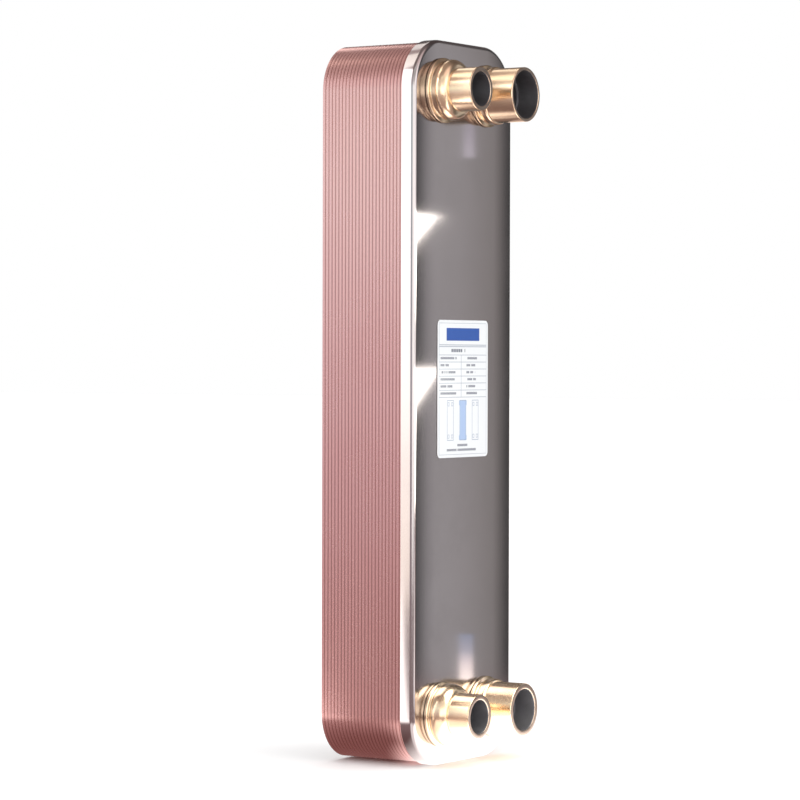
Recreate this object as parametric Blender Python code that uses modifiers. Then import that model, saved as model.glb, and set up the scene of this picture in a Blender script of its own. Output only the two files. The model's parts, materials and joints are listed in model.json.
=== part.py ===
"""Brazed plate heat exchanger: a pressed front cover, a pack of herringbone plates and four stubs.

The origin is the middle of the bounding box at the bottom.  +Z is up and the stubs point to -Y.
"Depth" is measured back from the outside of the front cover, "inset" in from the cover's outline.
Run with: blender --background --python part.py
"""

import math

import bmesh
import bpy
from mathutils import Vector

# Outline of the front cover
HEIGHT = 0.430
WIDTH = 0.110
CORNER_RADIUS = 0.0296

# Sheets, and the gap kept between touching pieces
FIT_GAP = 0.00025
COVER_SHEET = 0.00075
COVER_SKIRT = 0.0092
COVER_BEND = 0.0028
SEAL_SHEET = 0.0010
REAR_SHEET = 0.0020
PLATE_SHEET = 0.00035

# Plate pack: every plate is the same pressing, and every second one is turned upside down
PLATE_COUNT = 24
PLATE_PITCH = 0.00241
PRESS_DEPTH = 0.00085
SKIRT_DEPTH = 0.0046
SKIRT_FLARE = math.radians(16.0)
PORT_HOLE_RADIUS = 0.0120

# Herringbone field of a plate
FIELD_HALF_WIDTH = 0.046
FIELD_HALF_HEIGHT = 0.140
FIELD_FADE = 0.12
FIELD_ROWS = 10
CHEVRON_SLOPE = math.tan(math.radians(30.0))

# Ports, the same distance from both middle lines
PORT_X = 0.0244
PORT_Z = 0.1850

# Rating label on the face
LABEL_WIDTH = 0.0566
LABEL_HEIGHT = 0.0820
LABEL_SHEET = 0.0002
LABEL_RADIUS = 0.0030
LABEL_CENTRE_X = -0.0017
LABEL_CENTRE_Z = 0.0082

# Steps of round shapes: a quarter turn of an outline, or a full circle
COVER_CORNER_STEPS = 8
COVER_BEND_STEPS = 3
COVER_HOLE_STEPS = 24
PLATE_CORNER_STEPS = 4
PLATE_HOLE_STEPS = 8
STUB_STEPS = 24
SHOULDER_STEPS = 3
SMOOTH_ANGLE = math.radians(35.0)
MERGE_DISTANCE = 0.00001

# Turned sizes that all four stubs share
COLLAR_THICKNESS = 0.0018
GROOVE_DEPTH = 0.0016
GROOVE_SLOPE = 0.0006
RIM_CHAMFER = 0.0005

# Each stub: the side and end of the face where it stands, its reach from the face, and its radii.
# The body begins at groove_end and rounds off into the tube from body_end to tube_start.
STUBS = {
    "stub_top_left": dict(
        side=-1, end=1, reach=0.0270, tube=0.0129, socket=0.0101, socket_depth=0.0130, bore=0.0090,
        body=0.0181, groove_end=0.0064, body_end=0.0072, tube_start=0.0125,
        collar=0.0193, spigot=0.0125,
    ),
    "stub_top_right": dict(
        side=1, end=1, reach=0.0283, tube=0.0164, socket=0.01435, socket_depth=0.0140, bore=0.0126,
        body=0.0175, groove_end=0.0048, body_end=0.0075, tube_start=0.0092,
        collar=0.0188, spigot=0.0150,
    ),
    "stub_bottom_left": dict(
        side=-1, end=-1, reach=0.0270, tube=0.0133, socket=0.0100, socket_depth=0.0130, bore=0.0088,
        body=0.0185, groove_end=0.0043, body_end=0.0056, tube_start=0.0132,
        collar=0.0193, spigot=0.0125,
    ),
    "stub_bottom_right": dict(
        side=1, end=-1, reach=0.0283, tube=0.0159, socket=0.0125, socket_depth=0.0140, bore=0.0112,
        body=0.0175, groove_end=0.0048, body_end=0.0075, tube_start=0.0092,
        collar=0.0188, spigot=0.0150,
    ),
}

# Places along the depth that follow from the sizes above
SEAL_DEPTH = COVER_SHEET + FIT_GAP
SPIGOT_DEPTH = SEAL_DEPTH + SEAL_SHEET
FIRST_PLATE_DEPTH = SPIGOT_DEPTH + FIT_GAP + PRESS_DEPTH + PLATE_SHEET
REAR_PLATE_DEPTH = FIRST_PLATE_DEPTH + PLATE_COUNT * PLATE_PITCH
REAR_COVER_DEPTH = REAR_PLATE_DEPTH + PLATE_SHEET / 2.0 + FIT_GAP
TOTAL_DEPTH = REAR_PLATE_DEPTH + SKIRT_DEPTH
LONGEST_REACH = max(stub["reach"] for stub in STUBS.values())
FACE_Y = (LONGEST_REACH - TOTAL_DEPTH) / 2.0
MIDDLE_Z = HEIGHT / 2.0

# Insets of a plate's middle surface: at the lip of its skirt, and at the edge of its flat base
FLARE_SPREAD = SKIRT_DEPTH * math.tan(SKIRT_FLARE)
LIP_INSET = COVER_SHEET + FIT_GAP + PLATE_SHEET / 2.0 / math.cos(SKIRT_FLARE)
BASE_INSET = LIP_INSET + FLARE_SPREAD
SEAL_INSET = COVER_BEND + FIT_GAP
REAR_COVER_INSET = BASE_INSET + PLATE_SHEET

# finish: (red, green, blue), metallic, roughness
FINISHES = {
    "cover_steel": ((0.42, 0.40, 0.40), 1.0, 0.38),
    "copper_brazed_steel": ((0.72, 0.42, 0.38), 1.0, 0.42),
    "brazed_gold_steel": ((0.78, 0.55, 0.36), 1.0, 0.25),
    "label_film": ((0.86, 0.87, 0.88), 0.0, 0.45),
}


def clear_scene():
    """Remove every object, and the collections that held them."""
    for item in list(bpy.data.objects):
        bpy.data.objects.remove(item)
    for collection in list(bpy.data.collections):
        bpy.data.collections.remove(collection)


def new_material(name, finish):
    """A Principled material for one sub-part, in one of the named finishes."""
    colour, metallic, roughness = FINISHES[finish]
    material = bpy.data.materials.new(name + "_finish")
    material.use_nodes = True
    shader = material.node_tree.nodes["Principled BSDF"]
    shader.inputs["Base Color"].default_value = (*colour, 1.0)
    shader.inputs["Metallic"].default_value = metallic
    shader.inputs["Roughness"].default_value = roughness
    return material


def new_part(name, mesh, finish, collection, depth):
    """Place a mesh at a depth behind the face, as one named sub-part with its own material."""
    part = bpy.data.objects.new(name, mesh)
    part.location = (0.0, FACE_Y + depth, MIDDLE_Z)
    collection.objects.link(part)
    if not mesh.materials:
        mesh.materials.append(None)
    part.material_slots[0].link = "OBJECT"
    part.material_slots[0].material = new_material(name, finish)
    return part


def add_thickness(part, thickness, offset):
    """Give an open sheet its thickness: offset 0 to both sides, -1 behind the drawn surface."""
    shell = part.modifiers.new("sheet", "SOLIDIFY")
    shell.thickness = thickness
    shell.offset = offset
    shell.use_even_offset = True


def rounded_outline(width, height, radius, steps):
    """Points of a rectangle with round corners about the middle, in X and Z."""
    points = []
    for quarter, (side, end) in enumerate(((1, 1), (-1, 1), (-1, -1), (1, -1))):
        centre = Vector((side * (width / 2.0 - radius), end * (height / 2.0 - radius)))
        for step in range(steps + 1):
            angle = math.radians(90.0) * (quarter + step / steps)
            points.append(centre + radius * Vector((math.cos(angle), math.sin(angle))))
    return points


def cover_outline(inset, steps):
    """The cover's outline, moved in by an inset with its corners kept concentric."""
    return rounded_outline(WIDTH - 2.0 * inset, HEIGHT - 2.0 * inset, CORNER_RADIUS - inset, steps)


def circle(centre_x, centre_z, radius, steps):
    """Points of a circle in X and Z."""
    centre = Vector((centre_x, centre_z))
    turns = [math.tau * step / steps for step in range(steps)]
    return [centre + radius * Vector((math.cos(turn), math.sin(turn))) for turn in turns]


def add_loop(edit, points, depth=0.0):
    """Add a closed loop of edges at one depth, and return its edges."""
    verts = [edit.verts.new((point.x, depth, point.y)) for point in points]
    return [edit.edges.new((verts[i - 1], verts[i])) for i in range(len(verts))]


def fill_inside(edit, edges):
    """Fill the area inside an outline and outside the loops that it holds."""
    bmesh.ops.triangle_fill(edit, use_beauty=True, edges=edges, normal=(0.0, -1.0, 0.0))


def draw_rim_back(edit, rim, depth, spread):
    """Extrude a rim back by a depth and outwards by a spread, and return the new rim."""
    straight_x = WIDTH / 2.0 - CORNER_RADIUS
    straight_z = HEIGHT / 2.0 - CORNER_RADIUS
    made = bmesh.ops.extrude_edge_only(edit, edges=rim)["geom"]
    for vert in (item for item in made if isinstance(item, bmesh.types.BMVert)):
        side = max(-straight_x, min(straight_x, vert.co.x))
        end = max(-straight_z, min(straight_z, vert.co.z))
        outwards = Vector((vert.co.x - side, 0.0, vert.co.z - end)).normalized()
        vert.co += outwards * spread + Vector((0.0, depth, 0.0))
    return [item for item in made if isinstance(item, bmesh.types.BMEdge) and item.is_boundary]


def finish_sheet(edit, name):
    """Turn an open sheet's large face to the front (-Y) and return it as mesh data."""
    bmesh.ops.recalc_face_normals(edit, faces=edit.faces[:])
    edit.normal_update()
    if sum(face.normal.y * face.calc_area() for face in edit.faces) > 0.0:
        bmesh.ops.reverse_faces(edit, faces=edit.faces[:])
    mesh = bpy.data.meshes.new(name)
    edit.to_mesh(mesh)
    edit.free()
    mesh.shade_smooth()
    mesh.set_sharp_from_angle(angle=SMOOTH_ANGLE)
    return mesh


def flat_sheet_mesh(name, outline, holes=()):
    """A flat sheet: an outline with round holes in it."""
    edit = bmesh.new()
    edges = add_loop(edit, outline)
    for hole in holes:
        edges += add_loop(edit, hole)
    fill_inside(edit, edges)
    return finish_sheet(edit, name)


def stub_holes(steps):
    """The four holes that the stubs' spigots pass through."""
    holes = []
    for stub in STUBS.values():
        radius = stub["spigot"] + FIT_GAP
        holes.append(circle(stub["side"] * PORT_X, stub["end"] * PORT_Z, radius, steps))
    return holes


def front_cover_mesh():
    """The pressed front cover: a flat face with four holes, a round bend and a deep skirt."""
    edit = bmesh.new()
    rim = add_loop(edit, cover_outline(COVER_BEND, COVER_CORNER_STEPS))
    edges = list(rim)
    for hole in stub_holes(COVER_HOLE_STEPS):
        edges += add_loop(edit, hole)
    fill_inside(edit, edges)
    depth = spread = 0.0
    for step in range(1, COVER_BEND_STEPS + 1):
        angle = math.radians(90.0) * step / COVER_BEND_STEPS
        next_depth = COVER_BEND * (1.0 - math.cos(angle))
        next_spread = COVER_BEND * math.sin(angle)
        rim = draw_rim_back(edit, rim, next_depth - depth, next_spread - spread)
        depth, spread = next_depth, next_spread
    draw_rim_back(edit, rim, COVER_SKIRT - COVER_BEND, 0.0)
    return finish_sheet(edit, "front_cover")


def add_herringbone(edit):
    """Add the field of chevron ridges and furrows, flat at its edge, and return the edges there."""
    made = bmesh.ops.create_grid(edit, x_segments=4, y_segments=FIELD_ROWS, size=1.0)
    for vert in made["verts"]:
        across, along = vert.co.x, vert.co.y
        line = round((along + 1.0) / 2.0 * FIELD_ROWS)
        at_edge = abs(across) > 0.99 or line in (0, FIELD_ROWS)
        press = 0.0 if at_edge else (PRESS_DEPTH if line % 2 else -PRESS_DEPTH)
        # the inner columns move out, so that the pressing fades over a narrow strip at each side
        if 0.01 < abs(across) < 0.99:
            across = math.copysign(1.0 - FIELD_FADE, across)
        side = across * FIELD_HALF_WIDTH
        shear = (abs(side) - FIELD_HALF_WIDTH / 2.0) * CHEVRON_SLOPE
        vert.co = (side, press, along * FIELD_HALF_HEIGHT + shear)
    return [edge for edge in edit.edges if edge.is_boundary]


def channel_plate_mesh():
    """One channel plate: herringbone field, four port holes and a flared skirt.

    The port rims of one side are pressed forwards and those of the other side back, so between
    two plates that are turned end to end two ports are open and two are closed.
    """
    edit = bmesh.new()
    edges = add_herringbone(edit)
    rim = add_loop(edit, cover_outline(BASE_INSET, PLATE_CORNER_STEPS))
    edges += rim
    for side in (-1, 1):
        for end in (-1, 1):
            hole = circle(side * PORT_X, end * PORT_Z, PORT_HOLE_RADIUS, PLATE_HOLE_STEPS)
            edges += add_loop(edit, hole, depth=side * PRESS_DEPTH)
    fill_inside(edit, edges)
    draw_rim_back(edit, rim, SKIRT_DEPTH, FLARE_SPREAD)
    return finish_sheet(edit, "channel_plate")


def rear_seal_mesh():
    """The blank plate that closes the pack: a plain base with the same flared skirt."""
    edit = bmesh.new()
    rim = add_loop(edit, cover_outline(BASE_INSET, PLATE_CORNER_STEPS))
    fill_inside(edit, rim)
    draw_rim_back(edit, rim, SKIRT_DEPTH, FLARE_SPREAD)
    return finish_sheet(edit, "rear_seal_plate")


def stub_profile(stub):
    """Radius and height points of a stub: down its outer side, then back up its bore."""
    points = [(stub["tube"] - RIM_CHAMFER, stub["reach"]), (stub["tube"], stub["reach"] - RIM_CHAMFER)]
    for step in range(SHOULDER_STEPS + 1):
        angle = math.radians(90.0) * step / SHOULDER_STEPS
        radius = stub["tube"] + (stub["body"] - stub["tube"]) * math.sin(angle)
        height = stub["body_end"] + (stub["tube_start"] - stub["body_end"]) * math.cos(angle)
        points.append((radius, height))
    groove = stub["body"] - GROOVE_DEPTH
    points += [
        (stub["body"], stub["groove_end"]),
        (groove, stub["groove_end"] - GROOVE_SLOPE),
        (groove, COLLAR_THICKNESS + GROOVE_SLOPE),
        (stub["collar"], COLLAR_THICKNESS),
        (stub["collar"], FIT_GAP),
        (stub["spigot"], FIT_GAP),
        (stub["spigot"], -SPIGOT_DEPTH),
        (stub["bore"], -SPIGOT_DEPTH),
        (stub["bore"], stub["reach"] - stub["socket_depth"]),
        (stub["socket"], stub["reach"] - stub["socket_depth"]),
        (stub["socket"], stub["reach"] - RIM_CHAMFER),
        (stub["socket"] + RIM_CHAMFER, stub["reach"]),
    ]
    return points


def stub_mesh(name, stub):
    """The profile of a stub as a closed loop of edges, ready to be turned about Z."""
    points = stub_profile(stub)
    edges = [(i, (i + 1) % len(points)) for i in range(len(points))]
    mesh = bpy.data.meshes.new(name)
    mesh.from_pydata([(radius, 0.0, height) for radius, height in points], edges, [])
    return mesh


def add_turning(part):
    """Turn a profile about the part's own Z."""
    screw = part.modifiers.new("turned", "SCREW")
    screw.axis = "Z"
    screw.angle = math.tau
    screw.steps = STUB_STEPS
    screw.render_steps = STUB_STEPS
    screw.use_merge_vertices = True
    screw.merge_threshold = MERGE_DISTANCE
    screw.use_smooth_shade = True


def build_covers(collection):
    """The two outer sheets, and the flat sheet behind the front cover."""
    front = new_part("front_cover", front_cover_mesh(), "cover_steel", collection, 0.0)
    add_thickness(front, COVER_SHEET, -1.0)
    seal_outline = cover_outline(SEAL_INSET, COVER_CORNER_STEPS)
    seal_mesh = flat_sheet_mesh("front_seal_plate", seal_outline, stub_holes(COVER_HOLE_STEPS))
    seal = new_part("front_seal_plate", seal_mesh, "copper_brazed_steel", collection, SEAL_DEPTH)
    add_thickness(seal, SEAL_SHEET, -1.0)
    rear_outline = cover_outline(REAR_COVER_INSET, PLATE_CORNER_STEPS)
    rear_mesh = flat_sheet_mesh("rear_cover", rear_outline)
    rear = new_part("rear_cover", rear_mesh, "cover_steel", collection, REAR_COVER_DEPTH)
    add_thickness(rear, REAR_SHEET, -1.0)


def build_plate_pack(collection):
    """The channel plates, alternately upright and upside down, and the blank plate behind them."""
    shared_mesh = channel_plate_mesh()
    for index in range(PLATE_COUNT):
        name = f"channel_plate_{index + 1:02d}"
        depth = FIRST_PLATE_DEPTH + index * PLATE_PITCH
        plate = new_part(name, shared_mesh, "copper_brazed_steel", collection, depth)
        plate.rotation_euler.y = math.pi * (index % 2)
        add_thickness(plate, PLATE_SHEET, 0.0)
    mesh = rear_seal_mesh()
    rear = new_part("rear_seal_plate", mesh, "copper_brazed_steel", collection, REAR_PLATE_DEPTH)
    add_thickness(rear, PLATE_SHEET, 0.0)


def build_stubs(collection):
    """The four connection stubs, turned about axes that point to the front."""
    for name, stub in STUBS.items():
        part = new_part(name, stub_mesh(name, stub), "brazed_gold_steel", collection, 0.0)
        part.location.x = stub["side"] * PORT_X
        part.location.z = MIDDLE_Z + stub["end"] * PORT_Z
        part.rotation_euler.x = math.radians(90.0)
        add_turning(part)


def build_label(collection):
    """The rating label, a thin film with round corners stuck on the face."""
    outline = rounded_outline(LABEL_WIDTH, LABEL_HEIGHT, LABEL_RADIUS, PLATE_CORNER_STEPS)
    mesh = flat_sheet_mesh("rating_label", outline)
    label = new_part("rating_label", mesh, "label_film", collection, -FIT_GAP - LABEL_SHEET)
    label.location.x = LABEL_CENTRE_X
    label.location.z = MIDDLE_Z + LABEL_CENTRE_Z
    add_thickness(label, LABEL_SHEET, -1.0)


def main():
    clear_scene()
    collection = bpy.data.collections.new("plate_heat_exchanger")
    bpy.context.scene.collection.children.link(collection)
    build_covers(collection)
    build_plate_pack(collection)
    build_stubs(collection)
    build_label(collection)


main()
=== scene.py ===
import json
import math

import bmesh
import bpy
from mathutils import Matrix, Vector

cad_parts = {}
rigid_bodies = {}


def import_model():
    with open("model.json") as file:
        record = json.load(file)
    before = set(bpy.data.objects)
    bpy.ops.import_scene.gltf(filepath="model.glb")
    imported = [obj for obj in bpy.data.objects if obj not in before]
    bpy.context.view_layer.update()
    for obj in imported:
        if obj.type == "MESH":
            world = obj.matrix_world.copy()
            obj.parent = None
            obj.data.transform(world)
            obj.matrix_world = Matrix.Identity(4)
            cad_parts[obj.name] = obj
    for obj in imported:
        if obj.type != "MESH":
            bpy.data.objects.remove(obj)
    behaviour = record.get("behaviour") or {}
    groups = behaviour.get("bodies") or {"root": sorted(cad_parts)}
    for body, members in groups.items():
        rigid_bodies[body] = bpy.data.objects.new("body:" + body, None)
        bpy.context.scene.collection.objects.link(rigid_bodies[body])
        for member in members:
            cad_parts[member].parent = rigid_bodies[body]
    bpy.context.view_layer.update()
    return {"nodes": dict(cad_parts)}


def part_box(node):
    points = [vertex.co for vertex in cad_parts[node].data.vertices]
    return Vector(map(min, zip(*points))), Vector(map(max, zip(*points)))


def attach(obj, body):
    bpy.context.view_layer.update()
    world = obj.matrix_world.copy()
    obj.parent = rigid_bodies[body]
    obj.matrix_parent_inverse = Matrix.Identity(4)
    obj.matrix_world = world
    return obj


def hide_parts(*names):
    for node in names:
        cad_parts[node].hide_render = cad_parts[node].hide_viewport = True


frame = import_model()

# %% [markdown]
# # A brazed plate heat exchanger
#
# The real object is a stack of thin stainless pressings. Copper foil is laid between them and the
# whole stack goes through a vacuum furnace, so the copper runs into every joint and leaves a pink
# film on the edges. A thicker cover with a deep skirt closes the front, and four turned stubs are
# brazed into it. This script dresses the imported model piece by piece, in metres, in its own frame.

# %% Sizes read from the frame
cover_low, cover_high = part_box("front_cover")
WIDTH = cover_high.x - cover_low.x
HEIGHT = cover_high.z - cover_low.z
FACE_Y = cover_low.y
MIDDLE_Z = (cover_low.z + cover_high.z) / 2.0
COVER_SKIRT = cover_high.y - cover_low.y
print(f"cover {WIDTH * 1000:.1f} x {HEIGHT * 1000:.1f} mm, skirt {COVER_SKIRT * 1000:.1f} mm deep")

# %% Sizes that the pressings share
CORNER_RADIUS = 0.0296
FIT_GAP = 0.00025
COVER_SHEET = 0.00075
COVER_BEND = 0.0028
PLATE_SHEET = 0.00035
PLATE_FLARE = math.radians(16.0)
PLATE_SKIRT = 0.0046
PORT_X = 0.0244
PORT_Z = 0.1850
LIP_INSET = COVER_SHEET + FIT_GAP + PLATE_SHEET / 2.0 / math.cos(PLATE_FLARE)
FLARE_SPREAD = PLATE_SKIRT * math.tan(PLATE_FLARE)
BASE_INSET = LIP_INSET + FLARE_SPREAD
plate_names = sorted(name for name in frame["nodes"] if name.startswith("channel_plate"))
print(f"{len(plate_names)} channel plates, base {BASE_INSET * 1000:.2f} mm in from the cover's edge")

# %% [markdown]
# ## Two small helpers for node trees
#
# Geometry trees and materials are both graphs. One helper adds a node and fills its sockets: a plain
# value is typed into the socket and a socket is linked to it. Writing it once keeps each tree below
# as short as a recipe.

# %% Add a node
def add_node(tree, kind, sockets=None, **settings):
    """Add a node, set its properties, and fill its input sockets by name or number.

    A node given as a value stands for its first output.
    """
    node = tree.nodes.new(kind)
    for name, value in settings.items():
        setattr(node, name, value)
    for key, value in (sockets or {}).items():
        value = value.outputs[0] if isinstance(value, bpy.types.Node) else value
        if isinstance(value, bpy.types.NodeSocket):
            tree.links.new(value, node.inputs[key])
        else:
            node.inputs[key].default_value = value
    return node


def new_tree(name, kind, inputs, outputs):
    """A node group with named inputs {name: (socket type, default)} and outputs {name: type}."""
    tree = bpy.data.node_groups.new(name, kind)
    for label, (socket_type, default) in inputs.items():
        socket = tree.interface.new_socket(label, in_out="INPUT", socket_type=socket_type)
        if default is not None:
            socket.default_value = default
    for label, socket_type in outputs.items():
        tree.interface.new_socket(label, in_out="OUTPUT", socket_type=socket_type)
    return tree, tree.nodes.new("NodeGroupInput"), tree.nodes.new("NodeGroupOutput")


def calculate(tree, operation, *values):
    """A math node on numbers or sockets, and its result."""
    return add_node(tree, "ShaderNodeMath", dict(enumerate(values)), operation=operation).outputs[0]


def plus(tree, *values):
    """A sum of two values."""
    return calculate(tree, "ADD", *values)


def minus(tree, *values):
    """The first value less the second."""
    return calculate(tree, "SUBTRACT", *values)


def over(tree, *values):
    """The first value divided by the second."""
    return calculate(tree, "DIVIDE", *values)


def times(tree, first, *others):
    """The product of two or more values."""
    for other in others:
        first = calculate(tree, "MULTIPLY", first, other)
    return first


def largest(tree, first, *others):
    """The largest of several values: of masks, wherever any of them is set."""
    for other in others:
        first = calculate(tree, "MAXIMUM", first, other)
    return first


def soft_step(tree, value, zero_at, one_at):
    """A smooth rise from 0 to 1 between two values, or a fall if the second is the smaller."""
    low, high = min(zero_at, one_at), max(zero_at, one_at)
    at_low, at_high = (0.0, 1.0) if one_at > zero_at else (1.0, 0.0)
    return add_node(tree, "ShaderNodeMapRange", {
        "Value": value, "From Min": low, "From Max": high, "To Min": at_low, "To Max": at_high,
    }, interpolation_type="SMOOTHSTEP").outputs[0]


def split(tree, vector):
    """The X, Y and Z of a vector, by name."""
    return add_node(tree, "ShaderNodeSeparateXYZ", {0: vector}).outputs


def joined(tree, **parts):
    """A vector made from X, Y and Z; one that isn't given is 0."""
    return add_node(tree, "ShaderNodeCombineXYZ", parts).outputs[0]


def blended(tree, share, first, second):
    """One colour turning into another as the share goes from 0 to 1."""
    sockets = {"Factor": share, "A": first, "B": second}
    return add_node(tree, "ShaderNodeMix", sockets, data_type="RGBA").outputs["Result"]


def noise_of(tree, place, size, detail, **more):
    """A noise pattern from 0 to 1."""
    sockets = {"Vector": place, "Scale": size, "Detail": detail, **more}
    return add_node(tree, "ShaderNodeTexNoise", sockets).outputs[0]


def combined(tree, *shapes):
    """Several geometries joined into one."""
    join = tree.nodes.new("GeometryNodeJoinGeometry")
    for shape in shapes:
        tree.links.new(shape, join.inputs[0])
    return join.outputs[0]


def cleared(owner):
    """The emptied node tree of a material or a world."""
    owner.use_nodes = True
    owner.node_tree.nodes.clear()
    return owner.node_tree


def seen_in_mirrors(tree, plain, mirrored):
    """One shader for the eye and for matt surfaces, and another for whatever mirrors it."""
    glossy = add_node(tree, "ShaderNodeLightPath").outputs["Is Glossy Ray"]
    return add_node(tree, "ShaderNodeMixShader", {0: glossy, 1: plain, 2: mirrored}).outputs[0]


def add_object(name, data):
    """An object for some data, linked to the scene."""
    item = bpy.data.objects.new(name, data)
    bpy.context.scene.collection.objects.link(item)
    return item


FLOAT, INTEGER, COLOUR, VECTOR = (
    "NodeSocketFloat", "NodeSocketInt", "NodeSocketColor", "NodeSocketVector",
)
SHAPE, FINISH = "NodeSocketGeometry", "NodeSocketMaterial"


# %% Bake a tree into a plain mesh piece
def standing_matrix(depth_y=FACE_Y):
    """Turn a shape drawn lying down (x, y, -depth) so that it stands behind the face."""
    return Matrix.Translation((0.0, depth_y, MIDDLE_Z)) @ Matrix.Rotation(math.radians(90), 4, "X")


def bake_piece(name, tree, values, place, sheet=None, smooth_angle=35.0):
    """Run a geometry tree with named values, add a sheet's thickness, and keep only the mesh."""
    blank = add_object(name + "_source", bpy.data.meshes.new(name + "_source"))
    maker = blank.modifiers.new("maker", "NODES")
    maker.node_group = tree
    for item in tree.interface.items_tree:
        if item.item_type == "SOCKET" and item.in_out == "INPUT" and item.name in values:
            maker[item.identifier] = values[item.name]
    if sheet:
        shell = blank.modifiers.new("sheet", "SOLIDIFY")
        shell.thickness, shell.offset = sheet
        shell.use_even_offset = True
    depsgraph = bpy.context.evaluated_depsgraph_get()
    mesh = bpy.data.meshes.new_from_object(blank.evaluated_get(depsgraph))
    bpy.data.objects.remove(blank)
    mesh.transform(place)
    mesh.name = name
    mesh.shade_smooth()
    mesh.set_sharp_from_angle(angle=math.radians(smooth_angle))
    return add_object(name, mesh)


def settle(piece, slot_name, *nodes):
    """Let a finished piece ride on the body and stand for the CAD nodes that it details."""
    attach(piece, "root")
    if nodes:
        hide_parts(*nodes)
    print(f"{piece.name}: {len(piece.data.polygons)} faces")

# %% [markdown]
# ## Sheet pressings
#
# Every sheet in the pack starts as the same shape: a rectangle with large round corners. The press
# turns its edge back through a small bend into a skirt. Drawing one outline and sweeping one section
# along it is how the tool itself is made, so a single tree serves the covers and all the plates.

# %% Section of a bent and flared skirt
def skirt_section():
    """A tree that draws the section of a skirt: x is outwards and y is back from the flat."""
    tree, given, made = new_tree(
        "skirt_section", "GeometryNodeTree",
        {
            "Bend radius": (FLOAT, 0.001), "Bend angle": (FLOAT, 1.5), "Bend steps": (INTEGER, 4),
            "Depth": (FLOAT, 0.005),
        },
        {"Section": SHAPE},
    )
    radius, angle, steps, depth = (given.outputs[i] for i in range(4))
    count = plus(tree, steps, 2.0)
    line = add_node(tree, "GeometryNodeCurvePrimitiveLine")
    points = add_node(tree, "GeometryNodeResampleCurve", {"Curve": line, "Count": count})
    index = add_node(tree, "GeometryNodeInputIndex").outputs[0]
    share = over(tree, calculate(tree, "MINIMUM", index, steps), steps)
    turned = times(tree, share, angle)
    bend_out = times(tree, radius, calculate(tree, "SINE", turned))
    cosine = calculate(tree, "COSINE", turned)
    bend_back = times(tree, radius, minus(tree, 1.0, cosine))
    is_lip = calculate(tree, "GREATER_THAN", index, steps)
    straight = times(tree, is_lip, minus(tree, depth, bend_back))
    outwards = plus(tree, bend_out, over(tree, straight, calculate(tree, "TANGENT", angle)))
    back = plus(tree, bend_back, straight)
    moved = add_node(tree, "GeometryNodeSetPosition", {
        "Geometry": points, "Position": joined(tree, X=outwards, Y=back),
    })
    tree.links.new(moved.outputs[0], made.inputs["Section"])
    return tree


skirt_tree = skirt_section()
print("skirt section:", len(skirt_tree.nodes), "nodes")

# %% [markdown]
# ## Herringbone field
#
# The middle of each channel plate is pressed into chevron ridges about 7 mm apart. Turning every
# second plate end for end makes the chevrons cross, and the copper joins them where they touch. The
# grid's rows are bent into the same V as the ridges, so four rows a ridge are enough for a round
# wave. Its height fades out at the edge, where it meets the flat of the plate.

# %% Herringbone tree
RIDGES = 40
FIELD_HALF_HEIGHT = 0.140
COLUMNS = 11


def herringbone_field():
    """A grid bent into chevrons and pressed into a wave, flat along its whole edge."""
    tree, given, made = new_tree(
        "herringbone_field", "GeometryNodeTree",
        {
            "Half width": (FLOAT, 0.046), "Half height": (FLOAT, FIELD_HALF_HEIGHT),
            "Ridges": (INTEGER, RIDGES), "Press depth": (FLOAT, 0.0010), "Slope": (FLOAT, 0.577),
        },
        {"Field": SHAPE, "Edge": SHAPE},
    )
    half_width, half_height, ridges, press, slope = (given.outputs[i] for i in range(5))
    rows = plus(tree, times(tree, ridges, 4.0), 1.0)
    grid = add_node(tree, "GeometryNodeMeshGrid", {
        "Size X": 2.0, "Size Y": 2.0, "Vertices X": COLUMNS, "Vertices Y": rows,
    })
    at = split(tree, add_node(tree, "GeometryNodeInputPosition"))
    across, along = at["X"], at["Y"]
    # the columns crowd towards the sides, so that the wave fades over a narrow strip
    spread = calculate(tree, "SINE", times(tree, across, math.pi / 2.0))
    side = times(tree, spread, half_width)
    lean = minus(tree, calculate(tree, "ABSOLUTE", side), over(tree, half_width, 2.0))
    height = plus(tree, times(tree, along, half_height), times(tree, lean, slope))
    turns = times(tree, along, math.pi, ridges)
    inside_x = calculate(tree, "LESS_THAN", calculate(tree, "ABSOLUTE", across), 0.99)
    inside_y = calculate(tree, "LESS_THAN", calculate(tree, "ABSOLUTE", along), 0.99)
    wave = times(tree, calculate(tree, "SINE", turns), press, times(tree, inside_x, inside_y))
    field = add_node(tree, "GeometryNodeSetPosition", {
        "Geometry": grid.outputs["Mesh"], "Position": joined(tree, X=side, Y=height, Z=wave),
    })
    faces = add_node(tree, "GeometryNodeInputMeshEdgeNeighbors").outputs[0]
    at_edge = add_node(tree, "FunctionNodeCompare", {"A": faces, "B": 1},
                       data_type="INT", operation="EQUAL")
    edge = add_node(tree, "GeometryNodeMeshToCurve",
                    {"Mesh": field, "Selection": at_edge})
    tree.links.new(field.outputs[0], made.inputs["Field"])
    tree.links.new(edge.outputs[0], made.inputs["Edge"])
    return tree


field_tree = herringbone_field()
print(f"herringbone: {RIDGES} ridges, {2000 * FIELD_HALF_HEIGHT / RIDGES:.1f} mm apart")

# %% [markdown]
# ## The pressing tree
#
# The flat is filled between its outline and its openings, the skirt is swept round it, and the port
# seats are rings that dip to one side on the left ports and to the other on the right ones. The
# loops share their points, so merging by distance leaves one sheet, and a solidify gives it the
# thickness of the real strip.

# %% Pressing tree
RING_STEPS = 48
MERGE_REACH = 0.00001


def when(tree, flag, geometry):
    """The geometry if the flag is set, or nothing."""
    return add_node(tree, "GeometryNodeSwitch", {"Switch": flag, "True": geometry}, input_type="GEOMETRY")


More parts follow.
